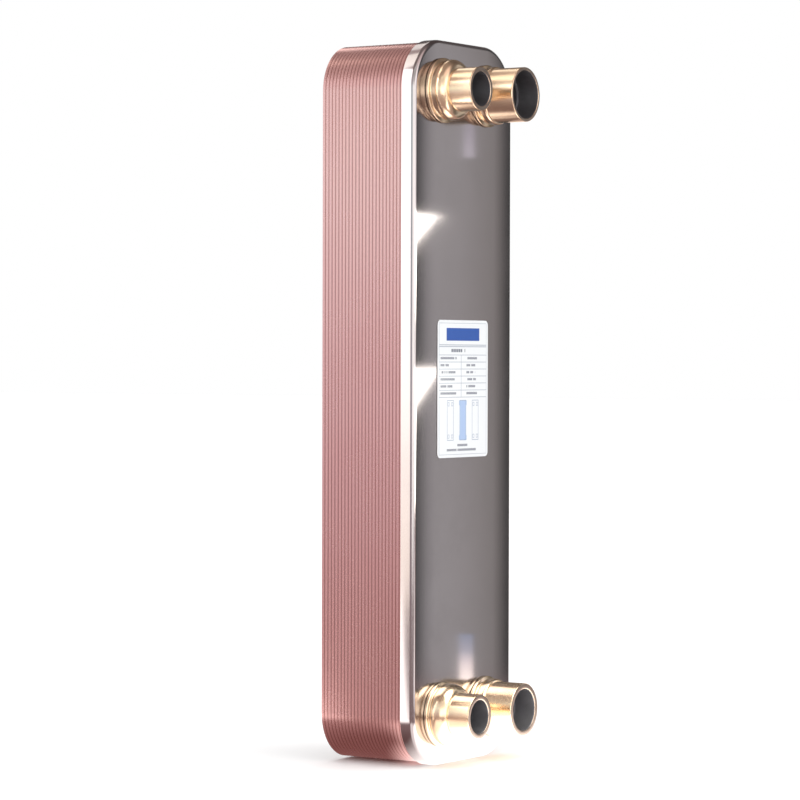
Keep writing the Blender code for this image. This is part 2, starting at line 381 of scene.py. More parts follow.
def finished(tree, shape, finish):
    """Merge points that share a place, make instances real and give the finish: the end of a tree."""
    merged = add_node(tree, "GeometryNodeMergeByDistance", {0: shape, "Distance": MERGE_REACH})
    single = add_node(tree, "GeometryNodeRealizeInstances", {0: merged})
    return add_node(tree, "GeometryNodeSetMaterial", {0: single, "Material": finish}).outputs[0]


def pressed_sheet():
    """A pan-shaped pressing with optional port openings, port seats and herringbone field."""
    tree, given, made = new_tree(
        "pressed_sheet", "GeometryNodeTree",
        {
            "Width": (FLOAT, 0.1), "Height": (FLOAT, 0.4), "Corner radius": (FLOAT, 0.03),
            "Corner steps": (INTEGER, 12), "Bend radius": (FLOAT, 0.001), "Bend angle": (FLOAT, 1.5),
            "Bend steps": (INTEGER, 4), "Depth": (FLOAT, 0.005), "Left opening": (FLOAT, 0.012),
            "Right opening": (FLOAT, 0.012), "Seat width": (FLOAT, 0.0), "Seat press": (FLOAT, 0.0),
            "Openings": ("NodeSocketBool", True), "Herringbone": ("NodeSocketBool", False),
            "Press depth": (FLOAT, 0.001), "Finish": (FINISH, None),
        },
        {"Sheet": SHAPE},
    )
    value = {socket.name: socket for socket in given.outputs}
    loop = add_node(tree, "GeometryNodeCurvePrimitiveQuadrilateral",
                    {"Width": value["Width"], "Height": value["Height"]})
    outline = add_node(
        tree, "GeometryNodeFilletCurve",
        {"Curve": loop, "Radius": value["Corner radius"], "Count": value["Corner steps"]},
        mode="POLY",
    ).outputs[0]

    # one point for each port, and a circle of the right size on each
    corners = add_node(tree, "GeometryNodeMeshGrid", {
        "Size X": 2.0 * PORT_X, "Size Y": 2.0 * PORT_Z, "Vertices X": 2, "Vertices Y": 2,
    })

    def on_ports(shape, flag, **scale):
        placed = add_node(tree, "GeometryNodeInstanceOnPoints", {
            "Points": corners.outputs["Mesh"], "Instance": shape, "Scale": joined(tree, **scale),
        })
        return when(tree, value[flag], add_node(tree, "GeometryNodeRealizeInstances", {0: placed}))

    spot = split(tree, add_node(tree, "GeometryNodeInputPosition"))
    is_right = calculate(tree, "GREATER_THAN", spot["X"], 0.0)
    opening = add_node(tree, "ShaderNodeMix", {
        "Factor": is_right, "A": value["Left opening"], "B": value["Right opening"],
    }).outputs[0]
    seat = plus(tree, opening, value["Seat width"])
    circle = add_node(tree, "GeometryNodeCurvePrimitiveCircle", {"Resolution": RING_STEPS, "Radius": 1.0})
    circles = on_ports(circle, "Openings", X=seat, Y=seat, Z=1.0)

    field = add_node(tree, "GeometryNodeGroup", {}, node_tree=field_tree)
    tree.links.new(value["Press depth"], field.inputs["Press depth"])
    field_edge = when(tree, value["Herringbone"], field.outputs["Edge"])
    field_body = when(tree, value["Herringbone"], field.outputs["Field"])
    loops = combined(tree, field_edge.outputs[0], circles.outputs[0], outline)
    flat = add_node(tree, "GeometryNodeFillCurve", {"Curve": loops})

    section = add_node(tree, "GeometryNodeGroup", {}, node_tree=skirt_tree)
    for name in ("Bend radius", "Bend angle", "Bend steps", "Depth"):
        tree.links.new(value[name], section.inputs[name])
    skirt = add_node(tree, "GeometryNodeCurveToMesh",
                     {"Curve": outline, "Profile Curve": section})

    # a port seat is swept round a unit circle, then sized and flipped for its side
    line = add_node(tree, "GeometryNodeCurvePrimitiveLine")
    line = add_node(tree, "GeometryNodeResampleCurve", {"Curve": line, "Count": 7})
    step = over(tree, add_node(tree, "GeometryNodeInputIndex").outputs[0], 6.0)
    rise = soft_step(tree, step, 1.0, 0.3)
    inwards = times(tree, minus(tree, step, 1.0), value["Seat width"])
    seat_line = add_node(tree, "GeometryNodeSetPosition", {
        "Geometry": line,
        "Position": joined(tree, X=inwards, Y=times(tree, rise, value["Seat press"])),
    })
    ring_radius = plus(tree, value["Left opening"], value["Seat width"])
    ring_loop = add_node(tree, "GeometryNodeCurvePrimitiveCircle",
                         {"Resolution": RING_STEPS, "Radius": ring_radius})
    ring = add_node(tree, "GeometryNodeCurveToMesh",
                    {"Curve": ring_loop, "Profile Curve": seat_line})
    side_sign = minus(tree, times(tree, is_right, 2.0), 1.0)
    rings = on_ports(ring, "Herringbone", X=1.0, Y=1.0, Z=side_sign)

    whole = combined(tree, *[part.outputs[0] for part in (flat, skirt, rings, field_body)])
    tree.links.new(finished(tree, whole, value["Finish"]), made.inputs["Sheet"])
    return tree


sheet_tree = pressed_sheet()
print("pressing tree:", len(sheet_tree.nodes), "nodes")

# %% [markdown]
# ## Surface effects that several finishes share
#
# Three things make these metals look used rather than rendered: the grain left by the rolling mill or
# the lathe, the uneven tint that the furnace leaves, and the faint smears of handling. Each is one
# group that gives a height, a mask or a colour, and each finish decides how much of it to take.

# %% Rolled or turned grain
def grain_group():
    """Fine streaks along one direction, from noise that is stretched: a height from 0 to 1."""
    tree, given, made = new_tree(
        "metal_grain", "ShaderNodeTree",
        {"Position": (VECTOR, None), "Stretch": (VECTOR, (1.0, 1.0, 1.0)), "Fineness": (FLOAT, 900.0)},
        {"Height": FLOAT},
    )
    stretched = add_node(tree, "ShaderNodeVectorMath",
                         {0: given.outputs["Position"], 1: given.outputs["Stretch"]}, operation="MULTIPLY")
    noise = noise_of(tree, stretched, given.outputs["Fineness"], 3.0, Roughness=0.6)
    tree.links.new(noise, made.inputs["Height"])
    return tree


def tint_group():
    """Furnace tint: slow patches that lead from one colour to another."""
    tree, given, made = new_tree(
        "furnace_tint", "ShaderNodeTree",
        {
            "Position": (VECTOR, None), "Clean": (COLOUR, (0.5, 0.5, 0.5, 1.0)),
            "Tinted": (COLOUR, (0.5, 0.4, 0.3, 1.0)), "Size": (FLOAT, 12.0), "Amount": (FLOAT, 0.5),
        },
        {"Colour": COLOUR, "Patches": FLOAT},
    )
    noise = noise_of(tree, given.outputs["Position"], given.outputs["Size"], 4.0, Roughness=0.55)
    patches = soft_step(tree, noise, 0.38, 0.66)
    share = times(tree, patches, given.outputs["Amount"])
    colour = blended(tree, share, given.outputs["Clean"], given.outputs["Tinted"])
    tree.links.new(colour, made.inputs["Colour"])
    tree.links.new(patches, made.inputs["Patches"])
    return tree


def smear_group():
    """Handling marks: broad soft smears mixed with a few finer wipes, from 0 to 1."""
    tree, given, made = new_tree(
        "handling_smears", "ShaderNodeTree",
        {"Position": (VECTOR, None), "Size": (FLOAT, 25.0)}, {"Smears": FLOAT},
    )
    place, size = given.outputs["Position"], given.outputs["Size"]
    broad = noise_of(tree, place, size, 3.0, Distortion=0.8)
    wipes = noise_of(tree, place, times(tree, size, 7.0), 2.0, Distortion=1.5)
    both = times(tree, broad, plus(tree, wipes, 0.5))
    spread = add_node(tree, "ShaderNodeMapRange", {"Value": both, "From Min": 0.25, "From Max": 0.75})
    tree.links.new(spread.outputs[0], made.inputs["Smears"])
    return tree


grain, tint, smears = grain_group(), tint_group(), smear_group()
print("surface groups:", grain.name, tint.name, smears.name)

# %% [markdown]
# ## Metal finishes
#
# All the metals are built the same way: a tinted base colour, a roughness that the smears lift a
# little, and a very shallow bump from the grain. What differs is the colour, the direction of the
# grain and how polished the surface is, so one function makes them from those few values.

# %% Metal finish
def new_finish(name):
    """An empty material, its tree, the surface shader and the object's own coordinates."""
    material = bpy.data.materials.new(name)
    tree = cleared(material)
    shader = add_node(tree, "ShaderNodeBsdfPrincipled")
    add_node(tree, "ShaderNodeOutputMaterial", {"Surface": shader})
    place = add_node(tree, "ShaderNodeTexCoord").outputs["Object"]
    return material, tree, shader, place


def use_group(tree, group, sockets):
    """Place a group in a tree and fill its sockets."""
    return add_node(tree, "ShaderNodeGroup", sockets, node_tree=group)


def metal_finish(name, clean, tinted, roughness, grain_stretch, grain_height=0.00002,
                 tint_size=12.0, tint_amount=0.5, smear_lift=0.08, fineness=900.0):
    """A satin metal with furnace tint, handling smears and grain."""
    material, tree, shader, place = new_finish(name)
    colour = use_group(tree, tint, {
        "Position": place, "Clean": (*clean, 1.0), "Tinted": (*tinted, 1.0),
        "Size": tint_size, "Amount": tint_amount,
    })
    smear = use_group(tree, smears, {"Position": place})
    streaks = use_group(tree, grain, {"Position": place, "Stretch": grain_stretch, "Fineness": fineness})
    bump = add_node(tree, "ShaderNodeBump",
                    {"Height": streaks, "Strength": 0.4, "Distance": grain_height})
    lift = times(tree, smear, smear_lift)
    tree.links.new(colour.outputs["Colour"], shader.inputs["Base Color"])
    tree.links.new(plus(tree, lift, roughness), shader.inputs["Roughness"])
    tree.links.new(bump.outputs[0], shader.inputs["Normal"])
    shader.inputs["Metallic"].default_value = 1.0
    return material, tree, shader, place


cover_finish = metal_finish(
    "cover_steel_satin", (0.43, 0.40, 0.41), (0.39, 0.362, 0.37), 0.12, (1.0, 1.0, 0.03),
    grain_height=0.00001, smear_lift=0.04,
)[0]
stub_finish = metal_finish(
    "turned_gold_steel", (0.90, 0.72, 0.52), (0.80, 0.58, 0.38), 0.20, (0.05, 1.0, 0.05),
    grain_height=0.00002, tint_size=40.0, fineness=1400.0,
)[0]
rim_finish = metal_finish(
    "cut_rim_steel", (0.42, 0.34, 0.29), (0.30, 0.23, 0.19), 0.30, (1.0, 1.0, 1.0), tint_size=90.0,
)[0]
# painted shade: the bores take a dark grey that stands in for the shade deep inside them
bore_shade_finish = metal_finish(
    "bore_painted_shade_steel", (0.24, 0.24, 0.26), (0.15, 0.15, 0.16), 0.50, (1.0, 0.1, 1.0), tint_size=60.0,
)[0]
print("metals:", cover_finish.name, stub_finish.name, rim_finish.name, bore_shade_finish.name)

# %% [markdown]
# ## Copper-brazed plates
#
# The copper leaves the plates pink, and it is thickest where a lip rests on the next plate. Each lip
# has a thin dark line of painted shade beside it, where it overhangs the next skirt. The line repeats
# with the pitch of the stack, so the finish measures the depth through the stack and darkens a narrow
# band once a pitch.

# %% Copper-brazed finish
PLATE_PITCH = 0.00241
SEAL_SHEET = 0.0010
SEAT_PRESS = 0.00085
FIRST_PLATE_DEPTH = COVER_SHEET + FIT_GAP + SEAL_SHEET + FIT_GAP + SEAT_PRESS + PLATE_SHEET
# painted shade: the dark line beside each lip, where it overhangs the next plate's skirt
LIP_SHADE_COLOUR = (0.30, 0.10, 0.08, 1.0)
LIP_SHADE_SHARE = 0.75


def copper_finish():
    """Pink satin steel with a darker line of painted shade at each lip of the stack."""
    material, tree, shader, place = metal_finish(
        "copper_brazed_satin", (0.82, 0.51, 0.50), (0.76, 0.43, 0.42), 0.26, (1.0, 1.0, 0.04),
        tint_size=9.0, tint_amount=0.35, smear_lift=0.02, grain_height=0.000004,
    )
    depth = split(tree, place)["Y"]
    lip = FACE_Y + FIRST_PLATE_DEPTH + PLATE_SKIRT
    from_lip = minus(tree, depth, lip)
    in_pitch = calculate(tree, "FLOORED_MODULO", over(tree, from_lip, PLATE_PITCH), 1.0)
    inside_stack = calculate(tree, "GREATER_THAN", depth, FACE_Y + COVER_SKIRT)
    # painted shade: a narrow dark band once a pitch, in the shade behind each lip
    dark = times(tree, soft_step(tree, in_pitch, 0.50, 0.24), inside_stack)
    colour = shader.inputs["Base Color"].links[0].from_socket
    lined = blended(tree, times(tree, dark, LIP_SHADE_SHARE), colour, LIP_SHADE_COLOUR)
    tree.links.new(lined, shader.inputs["Base Color"])
    return material


plate_finish = copper_finish()
seal_plate = frame["nodes"]["front_seal_plate"]
seal_plate.data.materials.clear()
seal_plate.data.materials.append(plate_finish)
print("stack finish:", plate_finish.name)

# %% [markdown]
# ## Front cover
#
# The cover is the thickest sheet of the front half: it spreads the pull of the pipes. Its bend is
# rounder than the plates' and its skirt runs straight back over the first two lips.

# %% Front cover piece
COVER_PRESSING = {
    "Width": WIDTH - 2.0 * COVER_BEND, "Height": HEIGHT - 2.0 * COVER_BEND,
    "Corner radius": CORNER_RADIUS - COVER_BEND, "Corner steps": 28, "Bend radius": COVER_BEND,
    "Bend angle": math.radians(90.0), "Bend steps": 8, "Depth": COVER_SKIRT,
    "Left opening": 0.01275, "Right opening": 0.01525, "Openings": True, "Herringbone": False,
    "Finish": cover_finish,
}
cover = bake_piece("front_cover_pressing", sheet_tree, COVER_PRESSING, standing_matrix(),
                   (COVER_SHEET, -1.0))
settle(cover, "cover_steel", "front_cover")

# %% [markdown]
# ## Channel plates
#
# Twenty-four pressings nest one behind another. Each is the same tool's work, turned end for end at
# every second place, so one set of values makes them all and only the place changes.

# %% Channel plate pieces
def plate_values(**changes):
    """The named values of a flared plate, with its base set in from the cover's edge."""
    bend_radius, angle = 0.0010, math.radians(90.0) - PLATE_FLARE
    spread = bend_radius * math.sin(angle)
    spread += (PLATE_SKIRT - bend_radius * (1.0 - math.cos(angle))) / math.tan(angle)
    inset = LIP_INSET + spread
    values = {
        "Width": WIDTH - 2.0 * inset, "Height": HEIGHT - 2.0 * inset,
        "Corner radius": CORNER_RADIUS - inset, "Corner steps": 14, "Bend radius": bend_radius,
        "Bend angle": angle, "Bend steps": 3, "Depth": PLATE_SKIRT, "Left opening": 0.0120,
        "Right opening": 0.0120, "Seat width": 0.0040, "Seat press": SEAT_PRESS, "Openings": True,
        "Herringbone": True, "Press depth": 0.00100, "Finish": plate_finish,
    }
    values.update(changes)
    return values


end_for_end = Matrix.Rotation(math.pi, 4, "Z")
for index, node_name in enumerate(plate_names):
    depth = FACE_Y + FIRST_PLATE_DEPTH + index * PLATE_PITCH
    place = standing_matrix(depth) @ (end_for_end if index % 2 else Matrix.Identity(4))
    plate = bake_piece(node_name + "_pressing", sheet_tree, plate_values(), place, (PLATE_SHEET, 0.0))
    settle(plate, "copper_brazed_steel", node_name)

# %% [markdown]
# ## Back of the stack
#
# The last plate is blank and closes the channels. A thick flat cover is brazed into its hollow, and
# it stands almost flush with the last lip.

# %% Rear seal plate and rear cover
rear_depth = FACE_Y + FIRST_PLATE_DEPTH + len(plate_names) * PLATE_PITCH
rear_seal = bake_piece(
    "rear_seal_pressing", sheet_tree,
    plate_values(Openings=False, Herringbone=False), standing_matrix(rear_depth), (PLATE_SHEET, 0.0),
)
settle(rear_seal, "copper_brazed_steel", "rear_seal_plate")


def flat_plate_tree():
    """A flat plate with round corners, given thickness by the tree itself."""
    tree, given, made = new_tree(
        "flat_plate", "GeometryNodeTree",
        {
            "Width": (FLOAT, 0.1), "Height": (FLOAT, 0.4), "Corner radius": (FLOAT, 0.02),
            "Thickness": (FLOAT, 0.002), "Finish": (FINISH, None),
        },
        {"Plate": SHAPE},
    )
    width, height, radius, thickness, finish = (given.outputs[i] for i in range(5))
    loop = add_node(tree, "GeometryNodeCurvePrimitiveQuadrilateral", {"Width": width, "Height": height})
    outline = add_node(tree, "GeometryNodeFilletCurve",
                       {"Curve": loop, "Radius": radius, "Count": 12}, mode="POLY")
    flat = add_node(tree, "GeometryNodeFillCurve", {"Curve": outline}, mode="NGONS")
    lowered = add_node(tree, "GeometryNodeTransform", {
        "Geometry": flat, "Translation": joined(tree, Z=times(tree, thickness, -1.0)),
    })
    raised = add_node(tree, "GeometryNodeExtrudeMesh", {
        "Mesh": lowered, "Offset": joined(tree, Z=1.0), "Offset Scale": thickness,
        "Individual": False,
    })
    under = add_node(tree, "GeometryNodeFlipFaces", {0: lowered})
    both = combined(tree, raised.outputs[0], under.outputs[0])
    tree.links.new(finished(tree, both, finish), made.inputs["Plate"])
    return tree


flat_tree = flat_plate_tree()
back_low, back_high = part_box("rear_cover")
rear_cover = bake_piece("rear_cover_plate", flat_tree, {
    "Width": back_high.x - back_low.x, "Height": back_high.z - back_low.z,
    "Corner radius": CORNER_RADIUS - BASE_INSET - PLATE_SHEET, "Thickness": back_high.y - back_low.y,
    "Finish": cover_finish,
}, standing_matrix(back_low.y))
settle(rear_cover, "cover_steel", "rear_cover")

# %% [markdown]
# ## Connection stubs
#
# The stubs are turned from bar, so each is a profile spun about its axis. Going up the outside there
# is a collar that sits on the cover, a narrow groove, the body, a round shoulder and the tube; inside
# is the pipe socket down to its stop and the smaller bore. Every corner of the profile is eased by a
# fraction of a millimetre, because a lathe tool leaves no perfectly sharp edge.

# %% Turned profile
def eased(points, radius):
    """Round each corner of a closed profile with three points."""
    smooth = []
    for index, point in enumerate(points):
        here = Vector(point)
        before, after = Vector(points[index - 1]), Vector(points[(index + 1) % len(points)])
        reach = min(radius, (before - here).length * 0.45, (after - here).length * 0.45)
        start = here + (before - here).normalized() * reach
        end = here + (after - here).normalized() * reach
        middle = (start + end) / 4.0 + here / 2.0
        smooth += [start, middle, end]
    return smooth


EDGE_EASE = 0.00035
SPIN_STEPS = 96
SHOULDER_STEPS = 16
GROOVE_DEPTH = 0.0010
SPIGOT_END = -0.002


def stub_profile(stub):
    """Radius and height points of a stub: down its outer side, then back up its bore."""
    rim, collar, slope = 0.0004, 0.0018, 0.0006
    points = [(stub["tube"] - rim, stub["reach"]), (stub["tube"], stub["reach"] - rim)]
    for step in range(SHOULDER_STEPS + 1):
        angle = math.radians(90.0) * step / SHOULDER_STEPS
        radius = stub["tube"] + (stub["body"] - stub["tube"]) * math.sin(angle)
        height = stub["body_end"] + (stub["tube_start"] - stub["body_end"]) * math.cos(angle)
        points.append((radius, height))
    groove = stub["body"] - GROOVE_DEPTH
    inner = stub["reach"] - stub["socket_depth"]
    points += [
        (stub["body"], stub["groove_end"]), (groove, stub["groove_end"] - slope),
        (groove, collar + slope), (stub["collar"], collar), (stub["collar"], FIT_GAP),
        (stub["spigot"], FIT_GAP), (stub["spigot"], SPIGOT_END), (stub["bore"], SPIGOT_END),
        (stub["bore"], inner), (stub["socket"], inner), (stub["socket"], stub["reach"] - rim),
        (stub["socket"] + rim, stub["reach"]),
    ]
    return eased(points, EDGE_EASE)


STUBS = {
    "stub_top_left": dict(reach=0.0270, tube=0.0129, socket=0.0101, socket_depth=0.0130, bore=0.0090,
                          body=0.0181, groove_end=0.0064, body_end=0.0072, tube_start=0.0125,
                          collar=0.0193, spigot=0.0125),
    "stub_top_right": dict(reach=0.0283, tube=0.0164, socket=0.01435, socket_depth=0.0140, bore=0.0126,
                           body=0.0175, groove_end=0.0048, body_end=0.0075, tube_start=0.0092,
                           collar=0.0188, spigot=0.0150),
    "stub_bottom_left": dict(reach=0.0270, tube=0.0133, socket=0.0100, socket_depth=0.0130, bore=0.0088,
                             body=0.0185, groove_end=0.0043, body_end=0.0056, tube_start=0.0132,
                             collar=0.0193, spigot=0.0125),
    "stub_bottom_right": dict(reach=0.0283, tube=0.0159, socket=0.0125, socket_depth=0.0140, bore=0.0112,
                              body=0.0175, groove_end=0.0048, body_end=0.0075, tube_start=0.0092,
                              collar=0.0188, spigot=0.0150),
}


def turned_piece(name, stub, place):
    """Spin a profile into a closed solid, with the rim as its own finish and the bore painted dark as shade.
    """
    profile = stub_profile(stub)
    edit = bmesh.new()
    verts = [edit.verts.new((radius, 0.0, height)) for radius, height in profile]
    edges = [edit.edges.new((verts[i - 1], verts[i])) for i in range(len(verts))]
    bmesh.ops.spin(edit, geom=verts + edges, axis=(0, 0, 1), cent=(0, 0, 0), angle=math.tau,
                   steps=SPIN_STEPS, use_merge=True, use_duplicate=False)
    bmesh.ops.remove_doubles(edit, verts=edit.verts, dist=0.000001)
    bmesh.ops.recalc_face_normals(edit, faces=edit.faces)
    for face in edit.faces:
        centre = face.calc_center_median()
        radius = math.hypot(centre.x, centre.y)
        facing_out = face.normal.z > 0.9 and centre.z > stub["reach"] - 0.0002
        in_bore = radius < stub["socket"] + 0.0002 and face.normal.z < 0.9
        # faces in the socket and the bore take the dark finish, which is painted shade for the bore's depth
        face.material_index = 1 if facing_out else 2 if in_bore or radius < stub["socket"] else 0
    mesh = bpy.data.meshes.new(name)
    edit.to_mesh(mesh)
    edit.free()
    for finish in (stub_finish, rim_finish, bore_shade_finish):
        mesh.materials.append(finish)
    mesh.transform(place)
    mesh.shade_smooth()
    mesh.set_sharp_from_angle(angle=math.radians(50.0))
    return add_object(name, mesh)


for node_name, stub in STUBS.items():
    side = 1 if "right" in node_name else -1
    end = 1 if "top" in node_name else -1
    place = standing_matrix() @ Matrix.Translation((side * PORT_X, end * PORT_Z, 0.0))
    settle(turned_piece(node_name + "_turned", stub, place), "brazed_gold_steel", node_name)

# %% [markdown]
# ## Rating label
#
# The label is a thin printed film. Its ink has no thickness, so it is in the finish and not in the
# shape: a few repeated marks laid out from the label's own edges. The printing is only bars and
# boxes, with three tall outlines of a plate, which stand in for the real text.

# %% Ink groups
def bar_group():
    """A solid bar: 1 inside a rectangle and 0 outside."""
    tree, given, made = new_tree(
        "ink_bar", "ShaderNodeTree",
        {
            "Across": (FLOAT, 0.0), "Up": (FLOAT, 0.0), "Centre across": (FLOAT, 0.0),
            "Centre up": (FLOAT, 0.0), "Half width": (FLOAT, 0.001), "Half height": (FLOAT, 0.001),
        },
        {"Ink": FLOAT},
    )
    across, up, middle, height, half_width, half_height = (given.outputs[i] for i in range(6))
    off_x = calculate(tree, "ABSOLUTE", minus(tree, across, middle))
    off_y = calculate(tree, "ABSOLUTE", minus(tree, up, height))
    inside = times(tree, calculate(tree, "LESS_THAN", off_x, half_width),
                   calculate(tree, "LESS_THAN", off_y, half_height))
    tree.links.new(inside, made.inputs["Ink"])
    return tree


def words_group():
    """Rows of short bars inside a rectangle: the look of small print that says nothing."""
    tree, given, made = new_tree(
        "ink_words", "ShaderNodeTree",
        {
            "Across": (FLOAT, 0.0), "Up": (FLOAT, 0.0), "Left": (FLOAT, 0.0), "Width": (FLOAT, 0.02),
            "Top": (FLOAT, 0.0), "Row pitch": (FLOAT, 0.004), "Rows": (FLOAT, 6.0),
            "Letter": (FLOAT, 0.0011), "Row height": (FLOAT, 0.0014), "Seed": (FLOAT, 1.0),
        },
        {"Ink": FLOAT},
    )
    value = {socket.name: socket for socket in given.outputs}
    along = minus(tree, value["Across"], value["Left"])
    down = minus(tree, value["Top"], value["Up"])
    row = calculate(tree, "FLOOR", over(tree, down, value["Row pitch"]))
    in_row = minus(tree, down, times(tree, row, value["Row pitch"]))
    column = calculate(tree, "FLOOR", over(tree, along, value["Letter"]))
    in_column = calculate(tree, "FRACT", over(tree, along, value["Letter"]))
    cell = joined(tree, X=column, Y=row, Z=value["Seed"])
    chance = add_node(tree, "ShaderNodeTexWhiteNoise", {"Vector": cell}, noise_dimensions="3D")
    row_cell = joined(tree, X=row, Y=value["Seed"])
    row_chance = add_node(tree, "ShaderNodeTexWhiteNoise", {"Vector": row_cell}, noise_dimensions="3D")
    length = times(tree, value["Width"], add_node(tree, "ShaderNodeMapRange", {
        "Value": row_chance.outputs["Value"], "To Min": 0.45, "To Max": 1.0,
    }).outputs[0])
    tests = [
        calculate(tree, "GREATER_THAN", along, 0.0), calculate(tree, "LESS_THAN", along, length),
        calculate(tree, "GREATER_THAN", row, -0.5), calculate(tree, "LESS_THAN", row, value["Rows"]),
        calculate(tree, "LESS_THAN", in_row, value["Row height"]),
        calculate(tree, "LESS_THAN", in_column, 0.78),
        calculate(tree, "GREATER_THAN", chance.outputs["Value"], 0.12),
    ]
    tree.links.new(times(tree, *tests), made.inputs["Ink"])
    return tree


ink_bar, ink_words = bar_group(), words_group()
print("ink groups:", ink_bar.name, ink_words.name)

# %% Printed film
label_low, label_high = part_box("rating_label")
LABEL_X = (label_low.x + label_high.x) / 2.0
LABEL_Z = (label_low.z + label_high.z) / 2.0


def label_finish():
    """White film with a blue heading bar, ruled rows of grey bars and three plate outlines."""
    material, tree, shader, place = new_finish("printed_film")
    at = split(tree, place)
    across, up = minus(tree, at["X"], LABEL_X), minus(tree, at["Z"], LABEL_Z)

    def bar(x, z, half_width, half_height):
        return use_group(tree, ink_bar, {
            "Across": across, "Up": up, "Centre across": x, "Centre up": z,
            "Half width": half_width, "Half height": half_height,
        }).outputs[0]

    def frame_of(x, z, half_width, half_height, line=0.00022):
        inner = bar(x, z, half_width - line, half_height - line)
        return minus(tree, bar(x, z, half_width, half_height), inner)

    def words(left, top, width, rows, seed, pitch=0.0042, **sizes):
        sockets = {
            "Across": across, "Up": up, "Left": left, "Top": top, "Width": width,
            "Rows": float(rows), "Seed": float(seed), "Row pitch": pitch,
        }
        sockets.update(sizes)
        return use_group(tree, ink_words, sockets).outputs[0]

    heading = bar(0.0, 0.0325, 0.0185, 0.0038)
    rules = largest(
        tree, frame_of(0.0, 0.0, 0.0266, 0.0393), bar(0.0, 0.0262, 0.0266, 0.00022),
        bar(0.0, 0.0252, 0.0266, 0.00022), bar(-0.002, 0.0077, 0.00018, 0.0125),
        *[bar(0.0, 0.0202 - row * 0.0042, 0.0266, 0.00015) for row in range(7)],
    )
    print_rows = largest(
        tree, words(-0.0130, 0.0238, 0.0270, 1, 3, **{"Letter": 0.0021, "Row height": 0.0019}),
        words(-0.0250, 0.0190, 0.0180, 6, 11), words(0.0040, 0.0190, 0.0170, 6, 23),
        words(-0.0060, -0.0330, 0.0130, 1, 5), words(-0.0190, -0.0358, 0.0400, 1, 7),
    )
    outlines = largest(tree, *[
        frame_of(x, -0.0188, 0.0036, 0.0120, 0.00028) for x in (-0.0140, 0.0, 0.0140)
    ])
    ports = largest(tree, *[
        frame_of(x + side, z, 0.0009, 0.0011, 0.00025)
        for x in (-0.0140, 0.0140) for side in (-0.0020, 0.0020) for z in (-0.0092, -0.0284)
    ])
    fill = largest(tree, bar(0.0, -0.0188, 0.0033, 0.0117), bar(0.0, -0.0084, 0.0042, 0.0014),
                   bar(0.0, -0.0292, 0.0042, 0.0014))

    colour = (0.72, 0.735, 0.75, 1.0)
    for mask, ink in (
        (fill, (0.36, 0.47, 0.68, 1.0)), (rules, (0.26, 0.29, 0.36, 1.0)),
        (print_rows, (0.14, 0.15, 0.19, 1.0)), (outlines, (0.17, 0.22, 0.36, 1.0)),
        (ports, (0.17, 0.22, 0.36, 1.0)), (heading, (0.02, 0.08, 0.33, 1.0)),
    ):
        colour = blended(tree, mask, colour, ink)
    tree.links.new(colour, shader.inputs["Base Color"])
    smear = use_group(tree, smears, {"Position": place, "Size": 60.0})
    gloss = plus(tree, 0.28, times(tree, smear, 0.10))
    tree.links.new(gloss, shader.inputs["Roughness"])
    return material


label = bake_piece("rating_label_film", flat_tree, {
    "Width": label_high.x - label_low.x, "Height": label_high.z - label_low.z, "Corner radius": 0.003,
    "Thickness": label_high.y - label_low.y, "Finish": label_finish(),
}, Matrix.Translation((LABEL_X, label_low.y, LABEL_Z)) @ Matrix.Rotation(math.radians(90), 4, "X"))
settle(label, "label_film", "rating_label")

# %% [markdown]
# ## Floor, light and camera
#
# The unit stands upright on a plain pale floor in an even white studio. Bare metal shows its
# surroundings more than its own colour, so most of the lights are there to be mirrored: a grey screen
# fills the flat of the cover, a white one the skirts, and the pale floor lights the lower stubs.

# %% Floor
# Pools of light on the floor: along and across the line on which the cover's face mirrors it
RUNNER_ALONG, RUNNER_ACROSS = (0.84, -0.545, 0.0), (0.545, 0.84, 0.0)
RUNNER_LIGHT, AISLE_LIGHT, SIDE_LIGHT, REAR_LIGHT = 3.2, 2.6, 1.3, 0.9
GLOW_CENTRE = (0.0, -0.085, 0.0)
SHADE_REACH = 0.8
FLOOR_SHADE = [
    (0.08, (0.27, 0.15, 0.14)), (0.12, (0.42, 0.27, 0.26)), (0.22, (0.42, 0.27, 0.26)),
    (0.5, (0.46, 0.34, 0.33)), (0.9, (0.52, 0.41, 0.40)),
]


def between(tree, value, start, full, full_end, end):
    """1 between the two inner values, with a soft fall to 0 at the two outer ones."""
    return times(tree, soft_step(tree, value, start, full), soft_step(tree, value, end, full_end))


def colour_ramp(tree, value, stops):
    """A colour that follows a value from 0 to 1 through (position, colour) stops."""
    ramp = add_node(tree, "ShaderNodeValToRGB", {0: value})
    ends = ramp.color_ramp.elements
    ends[0].position, ends[0].color = stops[0][0], (*stops[0][1], 1.0)
    ends[1].position, ends[1].color = stops[-1][0], (*stops[-1][1], 1.0)
    for position, colour in stops[1:-1]:
        ends.new(position).color = (*colour, 1.0)
    return ramp.outputs[0]


